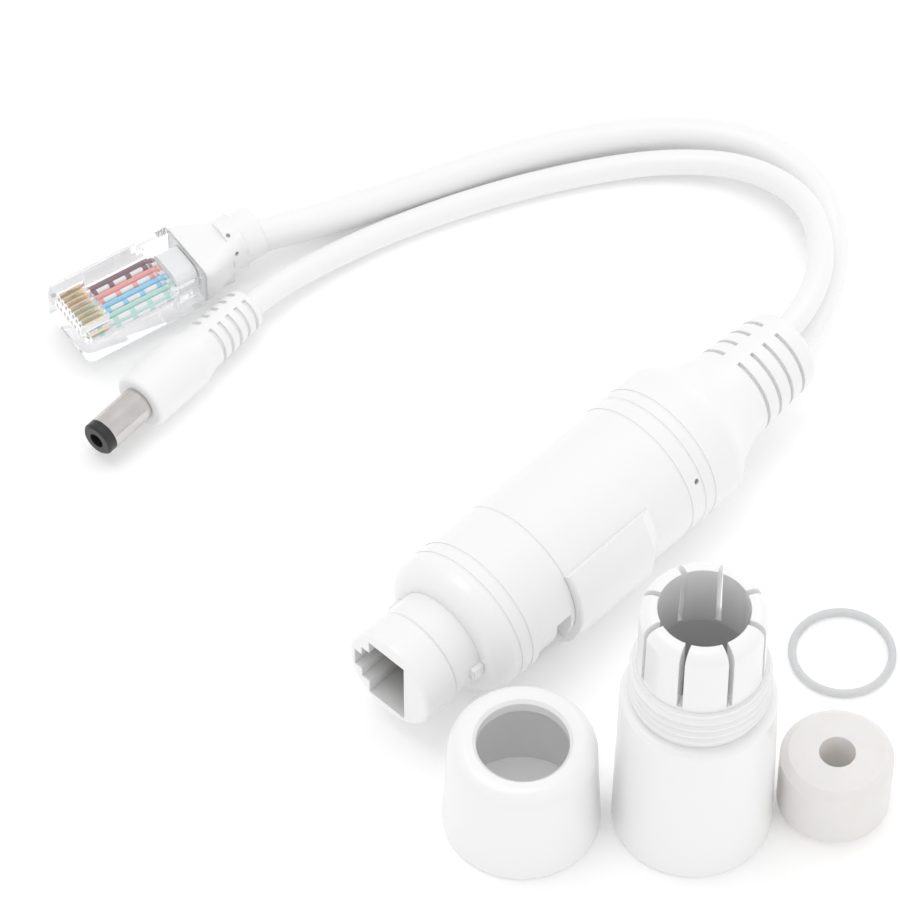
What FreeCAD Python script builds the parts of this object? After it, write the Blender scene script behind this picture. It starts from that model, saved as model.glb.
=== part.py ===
import FreeCAD, Part
import math
import os

# Weatherproof PoE splitter pigtail: a round two-shell housing with a keyed modular socket in its
# nose, and two leads out of its tail that end in a clear modular plug and a DC barrel plug.
# A sealing kit stands beside it. Millimetres. Origin: centre of the nose's front face on the
# housing axis. +X runs from the nose to the tail, +Z is up, and the floor is at FLOOR_Z.

# ---- housing ----
BODY_R = 11.5
FLOOR_Z = -BODY_R
WALL = 1.8
CAVITY_R = BODY_R - WALL
NOSE_R = 7.85
NOSE_EDGE = 0.8
BEZEL_END = 6.1
COLLAR_R = 7.65
COLLAR_END = 11.1
SHOULDER_R = 3.4
BODY_START = COLLAR_END + SHOULDER_R
FLANGE_X = 14.9
FLANGE_END = 16.6
FLANGE_R = 9.4
FRONT_END = 27.0
SEAT_RING_END = 30.0
REAR_END = 54.9
TAIL_SPIGOT = 51.2
FRONT_LINES = (15.6, 17.8)
REAR_LINE = 51.8
TAIL_LINE = 56.8
LINE_W = 0.3
LINE_D = 0.06
SEAM_W = 0.12
NOSE_SEAM = 0.2

# ---- tail: (along X, radius) of its smooth fall from the housing to the slotted boot ----
TAIL_FULL_END = 61.8
TAIL_CURVE = [(64.4, 10.5), (66.8, 9.1), (70.5, 7.75), (74.0, 7.3)]
BOOT_END = 85.5
BOOT_END_R = 6.6
BOOT_EDGE = 1.8

# ---- socket ----
PORT_HALF = 5.95
PORT_CONTACT_Y = -3.28
PORT_LATCH_Y = 3.6
PORT_DEPTH = 13.5
KEY_STEPS = ((3.45, 5.1), (1.7, 6.5))
CARRIER_Y = -5.2
CARRIER_HALF = 4.6
CARRIER_X = 1.6
CARRIER_WALL = 0.8
JACK_CORE_R = 6.9
JACK_CORE_END = 20.0
CONTACT_COUNT = 8
CONTACT_PITCH = 1.02
CONTACT_W = 0.45
CONTACT_SLOT_W = 0.62
SPRING_RISE = 17.0
LUG_X = 9.1
LUG_LONG = 2.0
LUG_WIDE = 2.2
LUG_R = 8.5

# ---- snap windows, grip pads and light, as angles from -Y towards +Z ----
WINDOW_X = 19.5
WINDOW_LONG = 6.5
WINDOW_MID = -11.0
WINDOW_HALF = 17.5
PAD_MID = -13.0
PAD_HALF = 51.0
PAD_R = 12.8
PAD_EDGE = 0.25
PAD_END = 44.5
PAD_SLOPE = 2.3
TONGUE_X = 17.8
TONGUE_R = 9.6
TONGUE_WALL = 1.2
HOOK_R = 10.9
HOOK_GAP = 0.3
HOOK_LONG = 4.0
LIGHT_X = 54.0
LIGHT_ANGLE = 27.5
LIGHT_R = 0.42
LIGHT_PIPE_START = 4.6

# ---- tail boot ----
SLOT_COUNT = 4
SLOT_X = 73.1
SLOT_PITCH = 2.77
SLOT_W = 0.62
SLOT_DEPTH = 0.8
WEB_MID = 95.0
WEB_HALF = 11.0
CLAMP_X = 69.6
CLAMP_LONG = 2.6
CLAMP_R = 5.5

# ---- electronics ----
BOARD_TOP = 0.6
BOARD_X = (20.4, 60.0)
BOARD_HALF = 8.2
CORE_X = (31.0, 41.0)
CORE_Y = (-6.0, 5.0)
CORE_TOP = 6.2
WINDING_X = (33.0, 39.0)
WINDING_Y = (-5.4, 4.4)
WINDING_Z = (2.0, 5.0)
CHIP_X = (44.0, 49.0)
CHIP_Y = (-4.2, 0.8)
CHIP_HIGH = 1.5
BRIDGE_STARTS = (24.0, 30.5)
BRIDGE_LONG = 4.6
BRIDGE_HALF = 3.2
BRIDGE_HIGH = 2.4
CAN_R = 3.1
CAN_X = (38.0, 49.0)
CAN_Y = (-3.2, 3.4)
INDUCTOR_X = (23.0, 29.0)
INDUCTOR_HALF = 3.0
INDUCTOR_HIGH = 4.0
PIN_X = (20.0, 22.6)
PIN_W = 0.4
INNER_WIRE_X = 52.0
INNER_ETH_WIRE_R = 0.45
INNER_DC_WIRE_R = 0.6

# ---- leads ----
ETH_R = 2.7
DC_R = 2.0
ETH_EXIT_Z = -2.1
DC_EXIT_Z = 2.75
ETH_FLOOR = FLOOR_Z + ETH_R + 0.05
DC_FLOOR = FLOOR_Z + DC_R + 0.05

# ---- modular plug, local X from its front face to the lead ----
RJ_LONG = 21.5
RJ_WIDE = 11.68
RJ_HIGH = 6.6
RJ_FRONT = FreeCAD.Vector(16.3, 83.7, FLOOR_Z + 6.2)
RJ_TURN = -11.9
RJ_BOOT_END = 33.5
RJ_COLLAR_R = 4.1
RJ_MARK_X = 28.2
RJ_MARK_ANGLES = (70.0, 26.0)
RJ_MARK_R = 0.35
BLADE_X = (1.0, 4.8)
BLADE_W = 0.36
BLADE_LOW = 0.9
BLADE_TOP = 3.05
WIRE_R = 0.46
WIRE_X = (1.7, 17.6)
JACKET_X = 17.6
WEDGE_X = (17.9, 20.3)
WEDGE_TOP = -2.0
LATCH_TILT = 6.6

# ---- DC plug, local X from its tip to the lead ----
DC_PLUG_LONG = 34.0
DC_BARREL_R = 2.75
DC_BARREL_END = 9.5
DC_INSULATOR_R = 2.3
DC_RELIEF = 0.3
DC_PIN_HOLE_R = 1.05
DC_MOULD_R = 4.6
DC_TAIL_R = 3.4
DC_SHOULDER_X = 19.3
DC_NECK_X = 22.8
DC_NECK_R = 3.75
DC_SLOTS = 5
DC_SLOT_X = 24.4
DC_SLOT_PITCH = 1.9
DC_SLOT_W = 0.65
DC_SLOT_DEPTH = 0.45
DC_LEAD_END = 26.0
DC_TIP = FreeCAD.Vector(4.9, 65.5, FLOOR_Z + DC_MOULD_R + 0.02)
DC_TURN = 3.6

# ---- sealing kit, standing on the floor ----
SLEEVE_AT = (19.5, -41.4)
CAP_AT = (2.3, -24.3)
SEAL_AT = (35.0, -54.5)
ORING_AT = (55.1, -38.6)
SLEEVE_R = 11.5
SLEEVE_BARREL = 29.5
SLEEVE_THREAD = 7.5
SLEEVE_FINGERS = 12.0
SLEEVE_BORE_R = 8.0
THREAD_R = 9.9
THREAD_PITCH = 1.5
FINGER_R = 8.9
FINGER_COUNT = 8
FINGER_GAP = 0.8
CAP_R = 11.3
CAP_HIGH = 18.6
CAP_BORE_R = 10.1
CAP_HOLE_R = 6.6
SEAL_R = 8.1
SEAL_HIGH = 12.0
SEAL_BORE_R = 2.6
ORING_R = 7.3
ORING_SECTION = 0.6

X_AXIS = FreeCAD.Vector(1, 0, 0)
Y_AXIS = FreeCAD.Vector(0, 1, 0)
Z_AXIS = FreeCAD.Vector(0, 0, 1)
ORIGIN = FreeCAD.Vector(0, 0, 0)
TOLERANCE = 1e-6


# ---- helpers ----
def turned_point(axis, along, radius):
    """Point of a turned outline."""
    if axis == X_AXIS:
        return FreeCAD.Vector(along, 0, radius)
    return FreeCAD.Vector(radius, 0, along)


def lathe(points, axis=X_AXIS):
    """Turned solid. Each item is (along the axis, radius), four numbers for an arc's middle and end,
    or a list of points for a smooth curve that starts and ends along the axis."""
    edges = []
    here = turned_point(axis, *points[0])
    for item in list(points[1:]) + [points[0]]:
        if isinstance(item, list):
            stops = [here] + [turned_point(axis, *stop) for stop in item]
            curve = Part.BSplineCurve()
            curve.interpolate(Points=stops, InitialTangent=axis, FinalTangent=axis)
            there = stops[-1]
            edges.append(curve.toShape())
        elif len(item) == 4:
            there = turned_point(axis, item[2], item[3])
            edges.append(Part.Arc(here, turned_point(axis, item[0], item[1]), there).toShape())
        else:
            there = turned_point(axis, *item)
            if there.distanceToPoint(here) > TOLERANCE:
                edges.append(Part.LineSegment(here, there).toShape())
        here = there
    return Part.Face(Part.Wire(edges)).revolve(ORIGIN, axis, 360)


def corner(centre_a, centre_r, radius, start, end):
    """Rounded corner for lathe: the arc's middle and end, angles in degrees from the axis."""
    middle = math.radians((start + end) / 2)
    last = math.radians(end)
    return (centre_a + radius * math.cos(middle), centre_r + radius * math.sin(middle),
            centre_a + radius * math.cos(last), centre_r + radius * math.sin(last))


def rod(radius, start, end):
    """Cylinder along X."""
    return Part.makeCylinder(radius, end - start, FreeCAD.Vector(start, 0, 0), X_AXIS)


def post(radius, low, high, at=(0, 0)):
    """Upright cylinder."""
    return Part.makeCylinder(radius, high - low, FreeCAD.Vector(at[0], at[1], low), Z_AXIS)


def block(x, y, z):
    """Box from its three ranges."""
    return Part.makeBox(x[1] - x[0], y[1] - y[0], z[1] - z[0], FreeCAD.Vector(x[0], y[0], z[0]))


def fuse(shapes):
    """One solid from several that overlap."""
    return shapes[0].multiFuse(shapes[1:]).removeSplitter()


def groove(radius, x, width=LINE_W, depth=LINE_D):
    """Shallow ring cut into a turned surface."""
    return rod(radius + 1, x, x + width).cut(rod(radius - depth, x - 1, x + width + 1))


def sector(inner, outer, x, middle, half):
    """Piece of a tube along X, centred on an angle from -Y towards +Z."""
    corners = [(x[0], inner), (x[1], inner), (x[1], outer), (x[0], outer), (x[0], inner)]
    face = Part.Face(Part.makePolygon([FreeCAD.Vector(along, -radius, 0) for along, radius in corners]))
    face.rotate(ORIGIN, X_AXIS, -(middle + half))
    return face.revolve(ORIGIN, X_AXIS, 2 * half)


def placed(shape, at, turn):
    """Local plug frame to its place: turned about Z, then moved."""
    shape.rotate(ORIGIN, Z_AXIS, turn)
    shape.translate(at)
    return shape


def plug_point(at, turn, x, y=0.0, z=0.0):
    """A point of a plug's local frame, in the part's frame."""
    angle = math.radians(turn)
    return (at.x + x * math.cos(angle) - y * math.sin(angle),
            at.y + x * math.sin(angle) + y * math.cos(angle), at.z + z)


def cord(name, points, radius):
    """Tube along straight runs joined by the largest tangent arcs, and its length."""
    route = [FreeCAD.Vector(*point) for point in points]
    edges = []
    here = route[0]
    radii = []
    for before, at, after in zip(route, route[1:], route[2:]):
        back = (before - at).normalize()
        ahead = (after - at).normalize()
        turn = math.pi - back.getAngle(ahead)
        shorter = min(before.distanceToPoint(at), at.distanceToPoint(after))
        arc_r = 0.45 * shorter / math.tan(turn / 2)
        reach = arc_r * math.tan(turn / 2)
        centre_way = (back + ahead).normalize()
        centre = at + centre_way * (arc_r / math.cos(turn / 2))
        start = at + back * reach
        end = at + ahead * reach
        edges.append(Part.LineSegment(here, start).toShape())
        edges.append(Part.Arc(start, centre - centre_way * arc_r, end).toShape())
        radii.append(round(arc_r, 1))
        here = end
    edges.append(Part.LineSegment(here, route[-1]).toShape())
    path = Part.Wire(edges)
    first = (route[1] - route[0]).normalize()
    section = Part.Wire([Part.Circle(route[0], first, radius).toShape()])
    tube = path.makePipeShell([section], True, False)
    expected = math.pi * radius * radius * path.Length
    ratio = round(tube.Volume / expected, 4)
    print(name, "length", round(path.Length, 1), "radii", radii, "volume ratio", ratio)
    return tube


# ---- nose ----
def port_pocket(depth):
    """Keyed modular opening, its long side along Z and its latch side towards +Y."""
    pieces = [block((-1, depth), (PORT_CONTACT_Y, PORT_LATCH_Y), (-PORT_HALF, PORT_HALF))]
    for half, top in KEY_STEPS:
        pieces.append(block((-1, depth), (0, top), (-half, half)))
    return fuse(pieces)


def carrier_pocket(depth):
    """Recess that the contact carrier fills, behind the port's contact side."""
    return block((CARRIER_X, depth), (CARRIER_Y, PORT_CONTACT_Y + 0.5), (-CARRIER_HALF, CARRIER_HALF))


def port_bezel():
    shape = lathe([(0, 0), (0, NOSE_R - NOSE_EDGE),
                   corner(NOSE_EDGE, NOSE_R - NOSE_EDGE, NOSE_EDGE, 180, 90),
                   (BEZEL_END - NOSE_SEAM, NOSE_R), (BEZEL_END, COLLAR_R - NOSE_SEAM), (BEZEL_END, 0)])
    shape = shape.cut(port_pocket(BEZEL_END + 1))
    return shape.cut(carrier_pocket(BEZEL_END + 1))


def bayonet_collar():
    shape = lathe([(BEZEL_END, 0), (BEZEL_END, COLLAR_R - NOSE_SEAM), (BEZEL_END + NOSE_SEAM, COLLAR_R),
                   (FLANGE_X, COLLAR_R), (FLANGE_X, FLANGE_R), (FLANGE_END, FLANGE_R), (FLANGE_END, 0)])
    lug = block((LUG_X, LUG_X + LUG_LONG), (-LUG_R, LUG_R), (-LUG_WIDE / 2, LUG_WIDE / 2))
    lug = lug.common(rod(LUG_R, LUG_X, LUG_X + LUG_LONG))
    shape = fuse([shape, lug])
    shape = shape.cut(port_pocket(PORT_DEPTH))
    shape = shape.cut(carrier_pocket(PORT_DEPTH))
    return shape.cut(rod(JACK_CORE_R, PORT_DEPTH, FLANGE_END + 1))


def jack_core():
    core = rod(JACK_CORE_R, PORT_DEPTH, JACK_CORE_END)
    pin_row = block((JACK_CORE_END - 2.5, JACK_CORE_END + 1), (CARRIER_Y, PORT_CONTACT_Y),
                    (-CARRIER_HALF, CARRIER_HALF))
    return core.cut(pin_row)


def contact_z(index):
    return (index - (CONTACT_COUNT - 1) / 2) * CONTACT_PITCH


def contact_carrier():
    shape = block((CARRIER_X, PORT_DEPTH), (CARRIER_Y, PORT_CONTACT_Y), (-CARRIER_HALF, CARRIER_HALF))
    for index in range(CONTACT_COUNT):
        low = contact_z(index) - CONTACT_SLOT_W / 2
        shape = shape.cut(block((CARRIER_X + 1, PORT_DEPTH - CARRIER_WALL), (CARRIER_Y + CARRIER_WALL, 0),
                                (low, low + CONTACT_SLOT_W)))
    return shape


def jack_contacts():
    """Eight spring wires that rise from the carrier towards the back of the port."""
    wires = []
    for index in range(CONTACT_COUNT):
        low = contact_z(index) - CONTACT_W / 2
        foot = block((CARRIER_X + 1.2, PORT_DEPTH - 1.2), (CARRIER_Y + CARRIER_WALL, CARRIER_Y + 1.25),
                     (low, low + CONTACT_W))
        spring = block((0, 9.2), (0, 0.42), (low, low + CONTACT_W))
        spring.rotate(ORIGIN, Z_AXIS, SPRING_RISE)
        spring.translate(FreeCAD.Vector(CARRIER_X + 1.4, CARRIER_Y + 0.95, 0))
        wires.append(fuse([foot, spring]))
    return Part.makeCompound(wires)


# ---- shells ----
def snap_window(middle, grow=0.0):
    return sector(CAVITY_R - 0.6, BODY_R + 2, (WINDOW_X + grow, WINDOW_X + WINDOW_LONG - grow), middle,
                  WINDOW_HALF - 4 * grow)


def front_shell():
    shape = lathe([(COLLAR_END, COLLAR_R), (COLLAR_END, BODY_R - SHOULDER_R),
                   corner(BODY_START, BODY_R - SHOULDER_R, SHOULDER_R, 180, 90),
                   (FRONT_END - SEAM_W, BODY_R), (FRONT_END, BODY_R - SEAM_W), (FRONT_END, CAVITY_R),
                   (FLANGE_X, CAVITY_R), (FLANGE_X, COLLAR_R)])
    for x in FRONT_LINES:
        shape = shape.cut(groove(BODY_R, x))
    for middle in (WINDOW_MID, WINDOW_MID + 180):
        shape = shape.cut(snap_window(middle))
    return shape


def grip_pad():
    """Raised pad on the rear shell that flows back into it at its rear end."""
    ramp = lathe([(FRONT_END, CAVITY_R + 0.4), (FRONT_END, PAD_R - PAD_EDGE), (FRONT_END + PAD_EDGE, PAD_R),
                  (PAD_END - PAD_SLOPE, PAD_R), (PAD_END, BODY_R - 0.05), (PAD_END, CAVITY_R + 0.4)])
    wedge = sector(CAVITY_R + 0.3, PAD_R + 1, (FRONT_END - 1, PAD_END + 1), PAD_MID, PAD_HALF)
    return ramp.common(wedge)


def snap_tongue(middle):
    """Springy tongue inside the front shell, with the hook that shows in its window."""
    tongue = sector(TONGUE_R - TONGUE_WALL, TONGUE_R, (TONGUE_X, SEAT_RING_END), middle, WINDOW_HALF + 6)
    start = WINDOW_X + HOOK_GAP
    hook = sector(TONGUE_R - 0.2, HOOK_R, (start, start + HOOK_LONG), middle, WINDOW_HALF - 3)
    return fuse([tongue, hook])


def rear_shell():
    shape = lathe([(FRONT_END, CAVITY_R - 1), (FRONT_END, BODY_R - SEAM_W), (FRONT_END + SEAM_W, BODY_R),
                   (REAR_END - SEAM_W, BODY_R), (REAR_END, BODY_R - SEAM_W), (REAR_END, CAVITY_R),
                   (SEAT_RING_END, CAVITY_R), (SEAT_RING_END, CAVITY_R - 1)])
    shape = fuse([shape, grip_pad(), snap_tongue(WINDOW_MID), snap_tongue(WINDOW_MID + 180)])
    shape = shape.cut(groove(BODY_R, REAR_LINE))
    return shape.cut(light_axis(LIGHT_R, CAVITY_R - 1, BODY_R + 1))


def light_axis(radius, inner, outer):
    """Cylinder along the status light's radial axis."""
    angle = math.radians(LIGHT_ANGLE)
    way = FreeCAD.Vector(0, -math.cos(angle), math.sin(angle))
    return Part.makeCylinder(radius, outer - inner, FreeCAD.Vector(LIGHT_X, 0, 0) + way * inner, way)


def light_pipe():
    return light_axis(LIGHT_R - 0.02, LIGHT_PIPE_START, BODY_R - 0.35)


def status_led():
    angle = math.radians(LIGHT_ANGLE)
    y = -LIGHT_PIPE_START * math.cos(angle)
    z = LIGHT_PIPE_START * math.sin(angle)
    return block((LIGHT_X - 0.8, LIGHT_X + 0.8), (y - 0.5, y + 0.9), (BOARD_TOP, z - 0.55))


# ---- tail ----
def boot_radius(x):
    """Radius of the boot's tapered part."""
    neck_x, neck_r = TAIL_CURVE[-1]
    return neck_r + (BOOT_END_R - neck_r) * (x - neck_x) / (BOOT_END - BOOT_EDGE - neck_x)


def slot_ring(x, outer, depth, middle, half, width):
    """Ring of slots round X, broken by two webs."""
    ring = rod(outer + 2, x, x + width).cut(rod(outer - depth, x - 1, x + width + 1))
    for angle in (middle, middle + 180):
        ring = ring.cut(sector(outer - depth - 1, outer + 3, (x - 1, x + width + 1), angle, half))
    return ring


def tail_boot():
    edge_x = BOOT_END - BOOT_EDGE
    clamp_end = CLAMP_X + CLAMP_LONG
    shape = lathe([(REAR_END, BODY_R - SEAM_W), (REAR_END + SEAM_W, BODY_R), (TAIL_FULL_END, BODY_R),
                   TAIL_CURVE, (edge_x, BOOT_END_R),
                   corner(edge_x, BOOT_END_R - BOOT_EDGE, BOOT_EDGE, 90, 0), (BOOT_END, 0), (clamp_end, 0), (clamp_end, CLAMP_R), (CLAMP_X - 1.5, CLAMP_R),
                   (TAIL_FULL_END, CAVITY_R - 1), (TAIL_SPIGOT, CAVITY_R - 1),
                   (TAIL_SPIGOT, CAVITY_R - 0.02), (REAR_END, CAVITY_R - 0.02)])
    shape = shape.cut(groove(BODY_R, TAIL_LINE))
    for index in range(SLOT_COUNT):
        x = SLOT_X + index * SLOT_PITCH
        shape = shape.cut(slot_ring(x, boot_radius(x), SLOT_DEPTH, WEB_MID, WEB_HALF, SLOT_W))
    shape = shape.cut(ETH_LEAD)
    shape = shape.cut(DC_LEAD)
    return shape.cut(light_axis(LIGHT_R, CAVITY_R - 2, BODY_R + 1))


def lead_clamp():
    shape = rod(CLAMP_R, CLAMP_X, CLAMP_X + CLAMP_LONG)
    for radius, z in ((ETH_R, ETH_EXIT_Z), (DC_R, DC_EXIT_Z)):
        hole = rod(radius, CLAMP_X - 1, CLAMP_X + CLAMP_LONG + 1)
        hole.translate(FreeCAD.Vector(0, 0, z))
        shape = shape.cut(hole)
    return shape


# ---- electronics on the board ----
def main_board():
    return block(BOARD_X, (-BOARD_HALF, BOARD_HALF), (-BOARD_TOP, BOARD_TOP))


def transformer_core():
    shape = block(CORE_X, CORE_Y, (BOARD_TOP, CORE_TOP))
    return shape.cut(block(WINDING_X, (CORE_Y[0] - 1, CORE_Y[1] + 1), WINDING_Z))


def transformer_winding():
    return block(WINDING_X, WINDING_Y, WINDING_Z)


def controller_chip():
    return block(CHIP_X, CHIP_Y, (BOARD_TOP, BOARD_TOP + CHIP_HIGH))


def bridge_rectifiers():
    bridges = []
    for x in BRIDGE_STARTS:
        bridges.append(block((x, x + BRIDGE_LONG), (-BRIDGE_HALF, BRIDGE_HALF),
                             (-BOARD_TOP - BRIDGE_HIGH, -BOARD_TOP)))
    return Part.makeCompound(bridges)


def lying_can(y):
    """Capacitor can under the board, along X."""
    can = rod(CAN_R, CAN_X[0], CAN_X[1])
    can.translate(FreeCAD.Vector(0, y, -BOARD_TOP - CAN_R))
    return can


def power_inductor():
    top = BOARD_TOP + INDUCTOR_HIGH
    shape = block(INDUCTOR_X, (-INDUCTOR_HALF, INDUCTOR_HALF), (BOARD_TOP, top))
    gap = block((INDUCTOR_X[0] + 1, INDUCTOR_X[1] - 1), (-INDUCTOR_HALF - 1, INDUCTOR_HALF + 1),
                (top - 1.4, top - 1.1))
    return shape.cut(gap)


def socket_pins():
    """Eight pins from the jack core to the circuit board."""
    pins = []
    for index in range(CONTACT_COUNT):
        z = BOARD_TOP + PIN_W + 0.55 * (index % 2)
        y = contact_z(index)
        pins.append(block(PIN_X, (y - PIN_W / 2, y + PIN_W / 2), (z, z + PIN_W)))
    return Part.makeCompound(pins)


def inner_wires(count, radius, pitch, z):
    """Insulated conductors from the board back to the clamp."""
    wires = []
    for index in range(count):
        wire = rod(radius, INNER_WIRE_X, CLAMP_X)
        wire.translate(FreeCAD.Vector(0, (index - (count - 1) / 2) * pitch, z))
        wires.append(wire)
    return Part.makeCompound(wires)


# ---- leads: hand-laid routes of the two cords ----
ETH_ROUTE = [(CLAMP_X + CLAMP_LONG, 0, ETH_EXIT_Z), (85.0, 0.1, ETH_EXIT_Z - 0.1), (97.6, 4.3, -4.8),
             (109.6, 11.2, -8.0), (118.2, 21.5, ETH_FLOOR), (119.2, 33.4, ETH_FLOOR),
             (113.3, 43.9, ETH_FLOOR), (103.3, 52.7, ETH_FLOOR), (89.8, 60.5, ETH_FLOOR),
             (73.1, 67.3, ETH_FLOOR), (58.6, 73.0, ETH_FLOOR + 0.6), (47.6, 76.9, RJ_FRONT.z - 0.5),
             plug_point(RJ_FRONT, RJ_TURN, RJ_LONG)]
DC_ROUTE = [(CLAMP_X + CLAMP_LONG, 0, DC_EXIT_Z), (84.8, 0.1, DC_EXIT_Z), (96.5, 3.7, 1.0),
            (106.4, 11.0, -2.4), (113.0, 20.8, -5.1), (112.9, 32.4, -7.4),
            (106.5, 42.2, -8.8), (96.6, 50.2, DC_FLOOR), (82.3, 58.0, DC_FLOOR),
            (66.4, 64.3, DC_FLOOR), (52.6, 67.3, DC_FLOOR + 0.8), (41.9, 67.9, DC_TIP.z - 0.3),
            plug_point(DC_TIP, DC_TURN, DC_LEAD_END)]


def ethernet_lead():
    return cord("ethernet_lead", ETH_ROUTE, ETH_R)


def dc_lead():
    return cord("dc_lead", DC_ROUTE, DC_R)


# ---- modular plug ----
def rj45_body():
    half_w = RJ_WIDE / 2
    half_h = RJ_HIGH / 2
    shape = block((0, RJ_LONG), (-half_w, half_w), (-half_h, half_h))
    uprights = [edge for edge in shape.Edges if abs(edge.CenterOfMass.x) < 0.01]
    shape = shape.makeChamfer(0.6, uprights)
    for index in range(CONTACT_COUNT):
        y = contact_z(index)
        shape = shape.cut(block((BLADE_X[0] - 0.3, BLADE_X[1] + 0.5), (y - 0.24, y + 0.24),
                                (BLADE_LOW, half_h + 1)))
    wires = block((WIRE_X[0] - 0.1, WIRE_X[1] - 1), (-4.2, 4.2), (-0.5, 0.52))
    mouth = block((JACKET_X - 1.6, RJ_LONG + 1), (-4.3, 4.3), (-2.5, 2.3))
    flare = block((16.5, RJ_LONG + 1), (-4.9, 4.9), (-2.7, 2.7))
    wedge_slot = block((WEDGE_X[0] - 0.4, WEDGE_X[1] + 0.4), (-3.3, 3.3), (-half_h - 1, WEDGE_TOP))
    for gap in (wires, mouth, flare, wedge_slot):
        shape = shape.cut(gap)
    return placed(shape, RJ_FRONT, RJ_TURN)


def rj45_contacts():
    blades = []
    for index in range(CONTACT_COUNT):
        y = contact_z(index)
        blades.append(block(BLADE_X, (y - BLADE_W / 2, y + BLADE_W / 2), (BLADE_LOW, BLADE_TOP)))
    return placed(Part.makeCompound(blades), RJ_FRONT, RJ_TURN)


def wire_pair(first):
    """Two neighbouring insulated wires under the plug's contacts."""
    wires = []
    for index in (first, first + 1):
        wire = rod(WIRE_R, WIRE_X[0], WIRE_X[1])
        wire.translate(FreeCAD.Vector(0, -contact_z(index), 0.01))
        wires.append(wire)
    return placed(Part.makeCompound(wires), RJ_FRONT, RJ_TURN)


def rj45_jacket_end():
    shape = block((JACKET_X, RJ_LONG - 0.2), (-3.4, 3.4), (-1.95, 2.1))
    along = [edge for edge in shape.Edges if abs(edge.tangentAt(edge.FirstParameter).x) > 0.9]
    shape = shape.makeFillet(1.6, along)
    return placed(shape, RJ_FRONT, RJ_TURN)


def rj45_wedge():
    return placed(block(WEDGE_X, (-3.1, 3.1), (-RJ_HIGH / 2, WEDGE_TOP)), RJ_FRONT, RJ_TURN)


def rounded(x, w, h, r):
    """Wire of four straight sides and four quarter arcs."""
    cut = r * (1 - math.sqrt(0.5))
    stops = []
    for sy, sz, flip in ((1, 1, False), (-1, 1, True), (-1, -1, False), (1, -1, True)):
        side = FreeCAD.Vector(x, sy * w, sz * (h - r))
        top = FreeCAD.Vector(x, sy * (w - r), sz * h)
        middle = FreeCAD.Vector(x, sy * (w - cut), sz * (h - cut))
        stops.append((top, middle, side) if flip else (side, middle, top))
    edges = []
    for index, (start, middle, end) in enumerate(stops):
        edges.append(Part.Arc(start, middle, end).toShape())
        edges.append(Part.LineSegment(end, stops[(index + 1) % 4][0]).toShape())
    return Part.Wire(edges)


def rj45_boot():
    sections = [rounded(RJ_LONG, 5.7, 3.5, 1.2), rounded(RJ_LONG + 2.0, 5.6, 3.6, 1.6),
                rounded(RJ_LONG + 6.5, 3.9, 3.5, 2.2), rounded(RJ_LONG + 8.6, 4.1, 3.9, 2.6)]
    shape = Part.makeLoft(sections, True, False)
    collar = rod(RJ_COLLAR_R, RJ_LONG + 6.0, RJ_BOOT_END)
    guard = block((RJ_LONG, RJ_LONG + 7), (-2.4, 2.4), (-6.15, -2.5))
    shape = fuse([shape, collar, guard])
    for angle in RJ_MARK_ANGLES:
        way = FreeCAD.Vector(0, -math.cos(math.radians(angle)), math.sin(math.radians(angle)))
        at = FreeCAD.Vector(RJ_MARK_X, 0, 0) + way * (RJ_COLLAR_R - 0.9)
        shape = shape.cut(Part.makeCylinder(RJ_MARK_R, 3, at, way))
    shape = placed(shape, RJ_FRONT, RJ_TURN)
    return shape.cut(ETH_LEAD)


def rj45_latch():
    """Springy locking lever under the plug, fixed at its front and free at its back."""
    lever = block((0, 14.2), (-1.6, 1.6), (-1.0, 0))
    lever = fuse([lever, block((0, 7.0), (-3.1, 3.1), (-1.0, 0))])
    lever.rotate(ORIGIN, Y_AXIS, LATCH_TILT)
    lever.translate(FreeCAD.Vector(1.4, 0, -RJ_HIGH / 2 - 0.08))
    return placed(lever, RJ_FRONT, RJ_TURN)


# ---- DC plug ----
def dc_barrel():
    relief_x = DC_BARREL_END - DC_RELIEF
    shape = lathe([(1.6, DC_INSULATOR_R), (1.6, DC_BARREL_R), (relief_x, DC_BARREL_R),
                   (relief_x, DC_BARREL_R - 0.25), (DC_BARREL_END, DC_BARREL_R - 0.25),
                   (DC_BARREL_END, DC_INSULATOR_R)])
    return placed(shape, DC_TIP, DC_TURN)


def dc_tip_insulator():
    shape = lathe([(0, 1.25), (0, 2.35), (0.35, DC_BARREL_R - 0.04), (1.6, DC_BARREL_R - 0.04),
                   (1.6, DC_INSULATOR_R), (DC_BARREL_END, DC_INSULATOR_R), (DC_BARREL_END, 1.3),
                   (1.2, 1.3), (1.2, 1.25)])
    return placed(shape, DC_TIP, DC_TURN)


def dc_centre_contact():
    shape = rod(1.3, 1.2, DC_BARREL_END).cut(rod(DC_PIN_HOLE_R, 0, DC_BARREL_END + 1))
    return placed(shape, DC_TIP, DC_TURN)


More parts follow.
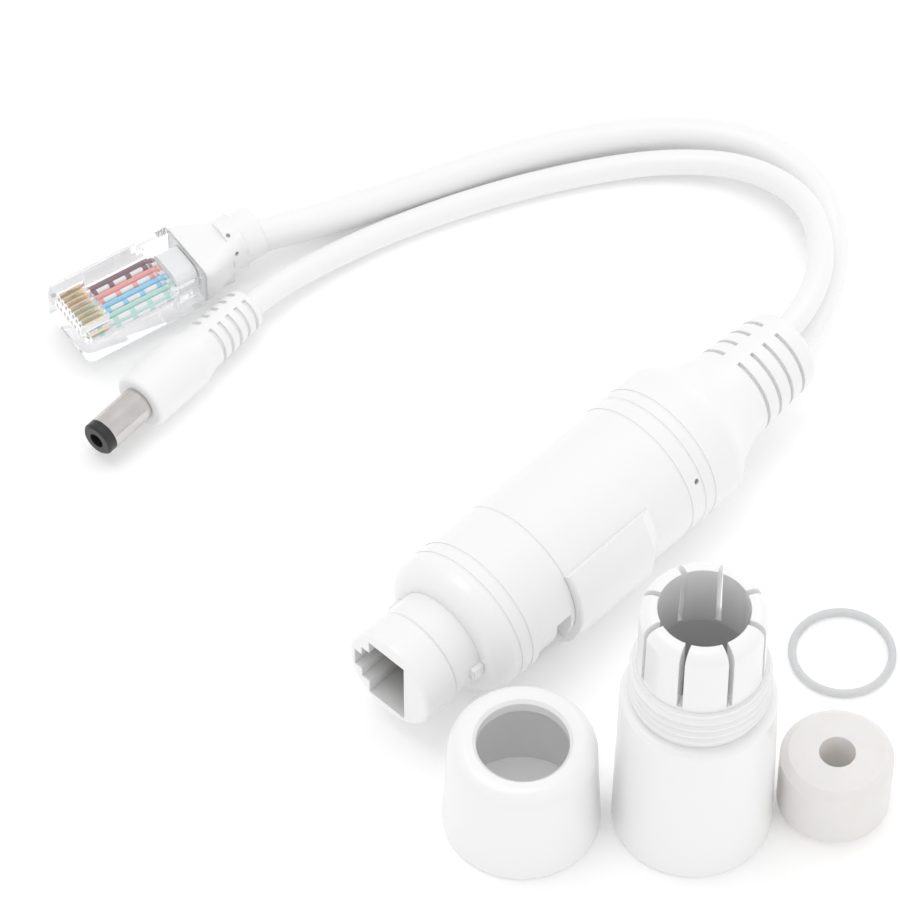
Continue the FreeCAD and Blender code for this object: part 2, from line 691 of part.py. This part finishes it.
def dc_overmould():
    taper_end = DC_PLUG_LONG - 0.9
    shape = lathe([(DC_BARREL_END, 0), (DC_BARREL_END, DC_MOULD_R - 0.7),
                   corner(DC_BARREL_END + 0.7, DC_MOULD_R - 0.7, 0.7, 180, 90), (DC_SHOULDER_X, DC_MOULD_R),
                   [(DC_SHOULDER_X + 2.2, DC_MOULD_R - 0.45), (DC_NECK_X + 1, DC_NECK_R)],
                   (taper_end, DC_TAIL_R), corner(taper_end, DC_TAIL_R - 0.9, 0.9, 90, 0),
                   (DC_PLUG_LONG, 0)])
    for index in range(DC_SLOTS):
        x = DC_SLOT_X + index * DC_SLOT_PITCH
        radius = DC_NECK_R + (DC_TAIL_R - DC_NECK_R) * (x - DC_NECK_X) / (taper_end - DC_NECK_X)
        shape = shape.cut(slot_ring(x, radius, DC_SLOT_DEPTH, WEB_MID, 15.0, DC_SLOT_W))
    shape = placed(shape, DC_TIP, DC_TURN)
    return shape.cut(DC_LEAD)


# ---- sealing kit ----
def standing(shape, at):
    shape.translate(FreeCAD.Vector(at[0], at[1], FLOOR_Z))
    return shape


def sealing_sleeve():
    thread_base = SLEEVE_BARREL
    finger_base = SLEEVE_BARREL + SLEEVE_THREAD
    top = finger_base + SLEEVE_FINGERS
    outline = [(0, SLEEVE_BORE_R + 0.1), (0, SLEEVE_R - 0.9), corner(0.9, SLEEVE_R - 0.9, 0.9, 180, 90),
               (thread_base - 0.9, SLEEVE_R - 0.5), corner(thread_base - 0.9, SLEEVE_R - 1.4, 0.9, 90, 0),
               (thread_base, THREAD_R - 0.5)]
    ridge = thread_base + 1.0
    while ridge + 1.2 < finger_base:
        outline += [(ridge, THREAD_R - 0.5), (ridge + 0.4, THREAD_R), (ridge + 0.7, THREAD_R),
                    (ridge + 1.1, THREAD_R - 0.5)]
        ridge += THREAD_PITCH
    outline += [(finger_base, THREAD_R - 0.5), (finger_base, FINGER_R), (top - 2.0, FINGER_R - 0.1),
                corner(top - 2.0, FINGER_R - 2.1, 2.0, 90, 10), (top, 6.4), (finger_base, 6.9),
                (finger_base - 1, SLEEVE_BORE_R + 0.1)]
    shape = lathe(outline, Z_AXIS)
    for index in range(FINGER_COUNT // 2):
        gap = block((-12, 12), (-FINGER_GAP / 2, FINGER_GAP / 2), (finger_base + 0.6, top + 1))
        gap.rotate(ORIGIN, Z_AXIS, (index + 0.5) * 360 / FINGER_COUNT)
        shape = shape.cut(gap)
    groove_box = block((-9.1, 9.1), (-1.35, 1.35), (-1, 12)).common(post(9.1, -1, 12))
    return standing(shape.cut(groove_box), SLEEVE_AT)


def compression_cap():
    shape = lathe([(0, CAP_BORE_R), (0, CAP_R - 0.8), corner(0.8, CAP_R - 0.8, 0.8, 180, 90),
                   (CAP_HIGH - 2.6, CAP_R - 0.7), corner(CAP_HIGH - 2.6, CAP_R - 3.3, 2.6, 90, 0),
                   (CAP_HIGH, CAP_HOLE_R + 0.5), (CAP_HIGH - 0.5, CAP_HOLE_R), (CAP_HIGH - 2.2, CAP_HOLE_R),
                   (CAP_HIGH - 7.0, CAP_BORE_R)], Z_AXIS)
    return standing(shape, CAP_AT)


def sealing_grommet():
    shape = lathe([(0, SEAL_BORE_R), (0, SEAL_R - 1.2), (1.2, SEAL_R), (SEAL_HIGH - 1.2, SEAL_R),
                   (SEAL_HIGH, SEAL_R - 1.2), (SEAL_HIGH, SEAL_BORE_R)], Z_AXIS)
    return standing(shape, SEAL_AT)


def o_ring():
    ring = Part.makeTorus(ORING_R, ORING_SECTION, FreeCAD.Vector(0, 0, ORING_SECTION), Z_AXIS)
    return standing(ring, ORING_AT)


# ---- build and write ----
ETH_LEAD = ethernet_lead()
DC_LEAD = dc_lead()

NODES = {
    "port_bezel": port_bezel(),
    "bayonet_collar": bayonet_collar(),
    "jack_core": jack_core(),
    "contact_carrier": contact_carrier(),
    "jack_contacts": jack_contacts(),
    "front_shell": front_shell(),
    "rear_shell": rear_shell(),
    "light_pipe": light_pipe(),
    "status_led": status_led(),
    "tail_boot": tail_boot(),
    "lead_clamp": lead_clamp(),
    "main_board": main_board(),
    "transformer_core": transformer_core(),
    "transformer_winding": transformer_winding(),
    "controller_chip": controller_chip(),
    "bridge_rectifiers": bridge_rectifiers(),
    "input_capacitor": lying_can(CAN_Y[0]),
    "output_capacitor": lying_can(CAN_Y[1]),
    "power_inductor": power_inductor(),
    "socket_pins": socket_pins(),
    "inner_ethernet_wires": inner_wires(4, INNER_ETH_WIRE_R, 1.2, ETH_EXIT_Z),
    "inner_dc_wires": inner_wires(2, INNER_DC_WIRE_R, 1.6, DC_EXIT_Z),
    "ethernet_lead": ETH_LEAD,
    "dc_lead": DC_LEAD,
    "rj45_body": rj45_body(),
    "rj45_contacts": rj45_contacts(),
    "wires_brown": wire_pair(0),
    "wires_orange": wire_pair(2),
    "wires_blue": wire_pair(4),
    "wires_green": wire_pair(6),
    "rj45_jacket_end": rj45_jacket_end(),
    "rj45_wedge": rj45_wedge(),
    "rj45_boot": rj45_boot(),
    "rj45_latch": rj45_latch(),
    "dc_barrel": dc_barrel(),
    "dc_tip_insulator": dc_tip_insulator(),
    "dc_centre_contact": dc_centre_contact(),
    "dc_overmould": dc_overmould(),
    "sealing_sleeve": sealing_sleeve(),
    "compression_cap": compression_cap(),
    "sealing_grommet": sealing_grommet(),
    "o_ring": o_ring(),
}

os.makedirs("parts", exist_ok=True)
for name, shape in NODES.items():
    if not shape.isValid():
        print("not valid:", name)
    if len(shape.Solids) != 1:
        print(name, "holds", len(shape.Solids), "solids")
    shape.exportStep(os.path.join("parts", name + ".step"))
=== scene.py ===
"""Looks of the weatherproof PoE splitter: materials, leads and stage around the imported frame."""
import math

import bpy
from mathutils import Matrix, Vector


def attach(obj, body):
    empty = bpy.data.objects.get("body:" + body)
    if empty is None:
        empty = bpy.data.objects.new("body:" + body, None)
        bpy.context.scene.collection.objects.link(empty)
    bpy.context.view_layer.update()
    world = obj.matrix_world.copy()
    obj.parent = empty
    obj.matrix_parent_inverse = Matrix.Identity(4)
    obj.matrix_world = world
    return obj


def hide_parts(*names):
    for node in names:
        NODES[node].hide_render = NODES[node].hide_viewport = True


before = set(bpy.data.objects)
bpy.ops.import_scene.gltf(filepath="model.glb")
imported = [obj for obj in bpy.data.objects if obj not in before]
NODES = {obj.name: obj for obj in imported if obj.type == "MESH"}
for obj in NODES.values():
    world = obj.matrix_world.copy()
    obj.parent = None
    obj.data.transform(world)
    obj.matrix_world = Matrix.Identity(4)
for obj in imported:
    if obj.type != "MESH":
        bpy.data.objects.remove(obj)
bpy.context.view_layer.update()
MM = 0.001
FLOOR_Z = -11.5 * MM

# ---- camera ----
VIEW_AZIMUTH = -46.1
VIEW_ELEVATION = 52.0
VIEW_DISTANCE = 0.8
VIEW_TARGET = Vector((0.0428, 0.0288, FLOOR_Z))
LENS_MM = 213.3

# ---- looks ----
# Painted shade inside the socket opening: its start and end depth and its radius.
PORT_SHADE_START = 0.3
PORT_SHADE_END = 11.0
PORT_SHADE_R = 7.3
CLEAR_IOR = 1.2
# Strength of the painted glow on the clear plastic.
CLEAR_PAINTED_GLOW = 0.06
CONTACT_PITCH = 1.02
STRIPE_LONG = 3.0
STRIPE_SHARE = 0.3
# Colour of the painted shade inside the socket opening.
PORT_PAINTED_SHADE = (0.24, 0.24, 0.242, 1)
STRIPE_WHITE = (0.84, 0.84, 0.845, 1)

# ---- stage ----
FLOOR_HALF = 3.0
FLOOR_DROP = 0.00002
FLOOR_GLOW = 0.12
WORLD_STRENGTH = 0.87
LIGHT_TARGET = (0.05, 0.03, 0)
LIGHTS = (("key", (0.0, 0.25, 1.1), (0.7, 0.7), 2.4),
          ("fill", (0.9, 0.1, 0.7), (0.6, 0.6), 0.9),
          ("front", (0.1, -0.9, 0.6), (0.8, 0.5), 0.5))

# ---- leads, the same routes as the CAD tubes ----
ETH_RADIUS = 2.7
DC_RADIUS = 2.0
ETH_FLOOR = -11.5 + ETH_RADIUS + 0.05
DC_FLOOR = -11.5 + DC_RADIUS + 0.05
RJ_FRONT = Vector((16.3, 83.7, -5.3))
RJ_TURN = math.radians(-11.9)
RJ_LONG = 21.5
DC_TIP = Vector((4.9, 65.5, -6.88))
DC_TURN = math.radians(3.6)
DC_LEAD_END = 26.0
CLAMP_END = 72.2
ETH_EXIT_Z = -2.1
DC_EXIT_Z = 2.75
LEAD_STEPS = 16
LEAD_ROUNDNESS = 10


def plug_point(front, turn, back):
    """The point on a plug's axis at a distance behind its front."""
    return front.x + back * math.cos(turn), front.y + back * math.sin(turn), front.z


ETH_ROUTE = [(CLAMP_END, 0, ETH_EXIT_Z), (85.0, 0.1, ETH_EXIT_Z - 0.1), (97.6, 4.3, -4.8),
             (109.6, 11.2, -8.0), (118.2, 21.5, ETH_FLOOR), (119.2, 33.4, ETH_FLOOR),
             (113.3, 43.9, ETH_FLOOR), (103.3, 52.7, ETH_FLOOR), (89.8, 60.5, ETH_FLOOR),
             (73.1, 67.3, ETH_FLOOR), (58.6, 73.0, ETH_FLOOR + 0.6), (47.6, 76.9, RJ_FRONT.z - 0.5),
             plug_point(RJ_FRONT, RJ_TURN, RJ_LONG)]
DC_ROUTE = [(CLAMP_END, 0, DC_EXIT_Z), (84.8, 0.1, DC_EXIT_Z), (96.5, 3.7, 1.0),
            (106.4, 11.0, -2.4), (113.0, 20.8, -5.1), (112.9, 32.4, -7.4),
            (106.5, 42.2, -8.8), (96.6, 50.2, DC_FLOOR), (82.3, 58.0, DC_FLOOR),
            (66.4, 64.3, DC_FLOOR), (52.6, 67.3, DC_FLOOR + 0.8), (41.9, 67.9, DC_TIP.z - 0.3),
            plug_point(DC_TIP, DC_TURN, DC_LEAD_END)]


# ---- material helpers ----
def new_material(name):
    material = bpy.data.materials.new(name)
    material.use_nodes = True
    shader = material.node_tree.nodes["Principled BSDF"]
    return material, material.node_tree, shader


def add(tree, kind, **inputs):
    node = tree.nodes.new(kind)
    for key, value in inputs.items():
        node.inputs[key].default_value = value
    return node


def object_coordinates(tree):
    return tree.nodes.new("ShaderNodeTexCoord").outputs["Object"]


def mottled(tree, shader, low, high, scale, detail=1.0):
    """Base colour that drifts between two close colours."""
    noise = add(tree, "ShaderNodeTexNoise", Scale=scale, Detail=detail)
    tree.links.new(object_coordinates(tree), noise.inputs["Vector"])
    ramp = tree.nodes.new("ShaderNodeValToRGB")
    ramp.color_ramp.interpolation = "LINEAR"
    ramp.color_ramp.elements[0].color = (*low, 1)
    ramp.color_ramp.elements[1].color = (*high, 1)
    tree.links.new(noise.outputs["Fac"], ramp.inputs["Fac"])
    tree.links.new(ramp.outputs["Color"], shader.inputs["Base Color"])
    return ramp


def varied_roughness(tree, shader, low, high, scale):
    """Roughness that drifts slowly over the surface."""
    noise = add(tree, "ShaderNodeTexNoise", Scale=scale, Detail=1.0)
    tree.links.new(object_coordinates(tree), noise.inputs["Vector"])
    spread = add(tree, "ShaderNodeMapRange")
    spread.inputs["To Min"].default_value = low
    spread.inputs["To Max"].default_value = high
    tree.links.new(noise.outputs["Fac"], spread.inputs["Value"])
    tree.links.new(spread.outputs["Result"], shader.inputs["Roughness"])


def grain(tree, shader, scale, strength, edge=0.00015, distance=0.00002):
    """Fine moulded grain as bump, over softly rounded edges."""
    noise = add(tree, "ShaderNodeTexNoise", Scale=scale, Detail=3.0)
    tree.links.new(object_coordinates(tree), noise.inputs["Vector"])
    bump = add(tree, "ShaderNodeBump", Strength=strength, Distance=distance)
    tree.links.new(noise.outputs["Fac"], bump.inputs["Height"])
    if edge:
        rounding = add(tree, "ShaderNodeBevel", Radius=edge)
        rounding.samples = 4
        tree.links.new(rounding.outputs["Normal"], bump.inputs["Normal"])
    tree.links.new(bump.outputs["Normal"], shader.inputs["Normal"])
    return bump


def moulded(name, low, high, rough, coat=0.0, grain_scale=2500, grain_strength=0.05):
    """Moulded plastic or rubber."""
    material, tree, shader = new_material(name)
    mottled(tree, shader, low, high, 45)
    varied_roughness(tree, shader, rough - 0.02, rough + 0.03, 60)
    grain(tree, shader, grain_scale, grain_strength)
    shader.inputs["Coat Weight"].default_value = coat
    shader.inputs["Coat Roughness"].default_value = 0.1
    return material


def white_plastic(name, rough, coat):
    """Bright white moulding that light sinks a little way into."""
    material = moulded(name, (0.875, 0.875, 0.877), (0.879, 0.879, 0.881), rough, coat=coat)
    shader = material.node_tree.nodes["Principled BSDF"]
    shader.inputs["Subsurface Weight"].default_value = 0.1
    shader.inputs["Subsurface Radius"].default_value = (0.002, 0.002, 0.002)
    shader.inputs["Subsurface Scale"].default_value = 0.5
    return material


def port_plastic():
    """White shell plastic with painted shade inside the socket opening, darker with depth."""
    material = white_plastic("port_plastic", 0.32, 0.35)
    tree = material.node_tree
    shader = tree.nodes["Principled BSDF"]
    white = shader.inputs["Base Color"].links[0].from_socket
    # Painted shade: inside the socket opening the base colour is mixed toward a dark grey, more with
    # depth, standing in for the shade in the recess.
    split = tree.nodes.new("ShaderNodeSeparateXYZ")
    tree.links.new(object_coordinates(tree), split.inputs["Vector"])
    depth = add(tree, "ShaderNodeMapRange")
    depth.interpolation_type = "SMOOTHSTEP"
    depth.inputs["From Min"].default_value = PORT_SHADE_START * MM
    depth.inputs["From Max"].default_value = PORT_SHADE_END * MM
    tree.links.new(split.outputs["X"], depth.inputs["Value"])
    across = tree.nodes.new("ShaderNodeCombineXYZ")
    tree.links.new(split.outputs["Y"], across.inputs["Y"])
    tree.links.new(split.outputs["Z"], across.inputs["Z"])
    radius = tree.nodes.new("ShaderNodeVectorMath")
    radius.operation = "LENGTH"
    tree.links.new(across.outputs["Vector"], radius.inputs[0])
    inside = tree.nodes.new("ShaderNodeMath")
    inside.operation = "LESS_THAN"
    inside.inputs[1].default_value = PORT_SHADE_R * MM
    tree.links.new(radius.outputs["Value"], inside.inputs[0])
    painted_shade_mask = tree.nodes.new("ShaderNodeMath")
    painted_shade_mask.operation = "MULTIPLY"
    tree.links.new(depth.outputs["Result"], painted_shade_mask.inputs[0])
    tree.links.new(inside.outputs["Value"], painted_shade_mask.inputs[1])
    painted_shade_mix = tree.nodes.new("ShaderNodeMixRGB")
    painted_shade_mix.inputs["Color2"].default_value = PORT_PAINTED_SHADE
    tree.links.new(painted_shade_mask.outputs["Value"], painted_shade_mix.inputs["Fac"])
    tree.links.new(white, painted_shade_mix.inputs["Color1"])
    tree.links.new(painted_shade_mix.outputs["Color"], shader.inputs["Base Color"])
    return material


def clear_plastic():
    """Clear moulding with a faint painted glow from emission."""
    material, tree, shader = new_material("clear_plastic")
    mottled(tree, shader, (0.93, 0.935, 0.94), (0.95, 0.955, 0.96), 90)
    varied_roughness(tree, shader, 0.04, 0.08, 120)
    grain(tree, shader, 900, 0.03, edge=0.0002)
    shader.inputs["Transmission Weight"].default_value = 1.0
    shader.inputs["IOR"].default_value = CLEAR_IOR
    # Painted glow: a faint white emission brightens the clear plastic, which is no lamp.
    shader.inputs["Emission Color"].default_value = (1, 1, 1, 1)
    shader.inputs["Emission Strength"].default_value = CLEAR_PAINTED_GLOW
    return material


def metal(name, colour, dark, rough, scale=400):
    """Plated or drawn metal with faint streaks."""
    material, tree, shader = new_material(name)
    mottled(tree, shader, dark, colour, scale)
    varied_roughness(tree, shader, rough, rough + 0.06, scale)
    grain(tree, shader, scale * 4, 0.02, edge=0.00008)
    shader.inputs["Metallic"].default_value = 1.0
    return material


def silicone(name, low, high, transmission):
    """Translucent silicone rubber."""
    material, tree, shader = new_material(name)
    mottled(tree, shader, low, high, 70)
    varied_roughness(tree, shader, 0.3, 0.36, 100)
    grain(tree, shader, 1500, 0.06)
    shader.inputs["Transmission Weight"].default_value = transmission
    shader.inputs["IOR"].default_value = 1.2
    shader.inputs["Subsurface Weight"].default_value = 0.4
    shader.inputs["Subsurface Radius"].default_value = (0.006, 0.005, 0.004)
    return material


def along(tree, way, start):
    """Distance along a direction of the part, from a point, as a node output."""
    shift = tree.nodes.new("ShaderNodeVectorMath")
    shift.operation = "SUBTRACT"
    shift.inputs[1].default_value = start
    tree.links.new(object_coordinates(tree), shift.inputs[0])
    dot = tree.nodes.new("ShaderNodeVectorMath")
    dot.operation = "DOT_PRODUCT"
    dot.inputs[1].default_value = way
    tree.links.new(shift.outputs["Vector"], dot.inputs[0])
    return dot.outputs["Value"]


def calculate(tree, operation, first, second):
    """A math node on an output and a number or a second output."""
    node = tree.nodes.new("ShaderNodeMath")
    node.operation = operation
    tree.links.new(first, node.inputs[0])
    if isinstance(second, float):
        node.inputs[1].default_value = second
    else:
        tree.links.new(second, node.inputs[1])
    return node.outputs["Value"]


def wire_pair_material(node, low, high, middle):
    """One wire of the pair is plain, and the other is white with stripes of the same colour."""
    material = moulded(node + "_insulation", low, high, 0.35)
    tree = material.node_tree
    shader = tree.nodes["Principled BSDF"]
    colour = shader.inputs["Base Color"].links[0].from_socket
    start = RJ_FRONT * MM
    across = along(tree, (-math.sin(RJ_TURN), math.cos(RJ_TURN), 0), start)
    length = along(tree, (math.cos(RJ_TURN), math.sin(RJ_TURN), 0), start)
    striped = calculate(tree, "LESS_THAN", across, middle * MM)
    wave = calculate(tree, "FRACT", calculate(tree, "DIVIDE", length, STRIPE_LONG * MM), 0.0)
    gap = calculate(tree, "GREATER_THAN", wave, STRIPE_SHARE)
    pale = tree.nodes.new("ShaderNodeMixRGB")
    pale.inputs["Color2"].default_value = STRIPE_WHITE
    tree.links.new(calculate(tree, "MULTIPLY", striped, gap), pale.inputs["Fac"])
    tree.links.new(colour, pale.inputs["Color1"])
    tree.links.new(pale.outputs["Color"], shader.inputs["Base Color"])
    return material


SHELL = white_plastic("shell_plastic", 0.32, 0.35)
PORT = port_plastic()
BOOT = white_plastic("boot_plastic", 0.38, 0.1)
JACKET = moulded("jacket_plastic", (0.875, 0.875, 0.877), (0.879, 0.879, 0.881), 0.36, coat=0.1,
                 grain_scale=1600)
SOCKET = moulded("socket_plastic", (0.02, 0.02, 0.021), (0.03, 0.03, 0.032), 0.45)
CLEAR = clear_plastic()
GOLD = metal("gold_plate", (0.95, 0.75, 0.36), (0.88, 0.66, 0.3), 0.2)
NICKEL = metal("nickel_plate", (0.70, 0.68, 0.67), (0.58, 0.56, 0.55), 0.16)
BLACK_TIP = moulded("tip_plastic", (0.014, 0.014, 0.015), (0.02, 0.02, 0.022), 0.35)
WIRE_COLOURS = {
    "wires_brown": ((0.16, 0.05, 0.08), (0.2, 0.08, 0.11)),
    "wires_orange": ((0.84, 0.30, 0.28), (0.88, 0.36, 0.34)),
    "wires_blue": ((0.22, 0.58, 0.82), (0.28, 0.64, 0.86)),
    "wires_green": ((0.42, 0.70, 0.64), (0.48, 0.75, 0.69)),
}
BOARD = moulded("solder_mask", (0.01, 0.12, 0.04), (0.02, 0.16, 0.06), 0.3, coat=0.4)
CHIP = moulded("chip_resin", (0.018, 0.018, 0.019), (0.026, 0.026, 0.028), 0.5)
FERRITE = moulded("ferrite", (0.055, 0.055, 0.057), (0.07, 0.07, 0.074), 0.6)
COPPER = metal("copper_wire", (0.85, 0.42, 0.22), (0.72, 0.33, 0.17), 0.3)
CAN = metal("can_aluminium", (0.78, 0.79, 0.8), (0.72, 0.73, 0.74), 0.3)
SEAL = silicone("seal_silicone", (0.95, 0.92, 0.89), (0.97, 0.945, 0.925), 0.2)
RING = silicone("ring_silicone", (0.74, 0.75, 0.76), (0.80, 0.81, 0.82), 0.25)
LIGHT_GUIDE = moulded("light_guide", (0.2, 0.2, 0.205), (0.25, 0.25, 0.255), 0.2, coat=0.5)

NODE_MATERIALS = {
    SHELL: ("front_shell", "rear_shell", "sealing_sleeve", "compression_cap"),
    PORT: ("port_bezel", "bayonet_collar"),
    BOOT: ("tail_boot", "rj45_boot", "dc_overmould"),
    JACKET: ("rj45_jacket_end",),
    SOCKET: ("jack_core", "contact_carrier", "lead_clamp"),
    CLEAR: ("rj45_body", "rj45_wedge", "rj45_latch"),
    GOLD: ("jack_contacts", "socket_pins", "rj45_contacts"),
    NICKEL: ("dc_barrel", "dc_centre_contact"),
    BLACK_TIP: ("dc_tip_insulator",),
    BOARD: ("main_board",),
    CHIP: ("controller_chip", "bridge_rectifiers"),
    FERRITE: ("transformer_core", "power_inductor"),
    COPPER: ("transformer_winding",),
    CAN: ("input_capacitor", "output_capacitor"),
    SEAL: ("sealing_grommet",),
    RING: ("o_ring",),
    LIGHT_GUIDE: ("light_pipe", "status_led"),
}


def paint(node, material):
    """Gives a carried-over CAD node its finished material."""
    mesh = NODES[node].data
    mesh.materials.clear()
    mesh.materials.append(material)


def paint_nodes():
    for material, nodes in NODE_MATERIALS.items():
        for node in nodes:
            paint(node, material)
    for index, (node, (low, high)) in enumerate(WIRE_COLOURS.items()):
        middle = (3 - 2 * index) * CONTACT_PITCH
        paint(node, wire_pair_material(node, low, high, middle))
    paint("inner_ethernet_wires", NODES["wires_orange"].data.materials[0])
    paint("inner_dc_wires", NODES["wires_brown"].data.materials[0])


# ---- leads ----
def lead_curve(name, route, radius, material):
    """A smooth lead: a NURBS curve through the listed route, with a round section."""
    curve = bpy.data.curves.new(name, "CURVE")
    curve.dimensions = "3D"
    curve.resolution_u = LEAD_STEPS
    curve.bevel_depth = radius * MM
    curve.bevel_resolution = LEAD_ROUNDNESS
    curve.use_fill_caps = True
    spline = curve.splines.new("NURBS")
    spline.points.add(len(route) - 1)
    for point, place in zip(spline.points, route):
        point.co = (place[0] * MM, place[1] * MM, place[2] * MM, 1)
    spline.order_u = 3
    spline.use_endpoint_u = True
    curve.materials.append(material)
    piece = bpy.data.objects.new(name, curve)
    bpy.context.collection.objects.link(piece)
    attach(piece, "splitter")
    return piece


def leads():
    ethernet = lead_curve("ethernet_cable", ETH_ROUTE, ETH_RADIUS, JACKET)
    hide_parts("ethernet_lead")
    dc = lead_curve("dc_cable", DC_ROUTE, DC_RADIUS, JACKET)
    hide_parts("dc_lead")


# ---- stage ----
def floor():
    mesh = bpy.data.meshes.new("floor")
    z = FLOOR_Z - FLOOR_DROP
    corners = [(x * FLOOR_HALF, y * FLOOR_HALF, z) for x, y in ((-1, -1), (1, -1), (1, 1), (-1, 1))]
    mesh.from_pydata(corners, [], [(0, 1, 2, 3)])
    material, tree, shader = new_material("floor_white")
    mottled(tree, shader, (0.93, 0.93, 0.93), (0.95, 0.95, 0.95), 3)
    shader.inputs["Roughness"].default_value = 0.9
    shader.inputs["Specular IOR Level"].default_value = 0.1
    shader.inputs["Emission Color"].default_value = (1, 1, 1, 1)
    shader.inputs["Emission Strength"].default_value = FLOOR_GLOW
    mesh.materials.append(material)
    piece = bpy.data.objects.new("floor", mesh)
    bpy.context.collection.objects.link(piece)


def area_light(name, place, size, power):
    data = bpy.data.lights.new(name, "AREA")
    data.shape = "RECTANGLE"
    data.size = size[0]
    data.size_y = size[1]
    data.energy = power
    light = bpy.data.objects.new(name, data)
    light.location = place
    light.rotation_euler = (Vector(LIGHT_TARGET) - Vector(place)).to_track_quat("-Z", "Y").to_euler()
    bpy.context.collection.objects.link(light)


def studio():
    for light in LIGHTS:
        area_light(*light)
    world = bpy.data.worlds.new("studio")
    world.use_nodes = True
    world.node_tree.nodes["Background"].inputs["Color"].default_value = (1, 1, 1, 1)
    world.node_tree.nodes["Background"].inputs["Strength"].default_value = WORLD_STRENGTH
    bpy.context.scene.world = world


def camera():
    data = bpy.data.cameras.new("camera")
    data.lens = LENS_MM
    data.sensor_width = 36
    data.clip_start = 0.01
    data.clip_end = 20
    azimuth = math.radians(VIEW_AZIMUTH)
    elevation = math.radians(VIEW_ELEVATION)
    look = Vector((-math.sin(azimuth) * math.cos(elevation), math.cos(azimuth) * math.cos(elevation),
                   -math.sin(elevation)))
    eye = bpy.data.objects.new("camera", data)
    eye.location = VIEW_TARGET - look * VIEW_DISTANCE
    eye.rotation_euler = look.to_track_quat("-Z", "Y").to_euler()
    bpy.context.collection.objects.link(eye)
    bpy.context.scene.camera = eye


paint_nodes()
leads()
floor()
studio()
camera()
bpy.context.scene.view_settings.view_transform = "Standard"
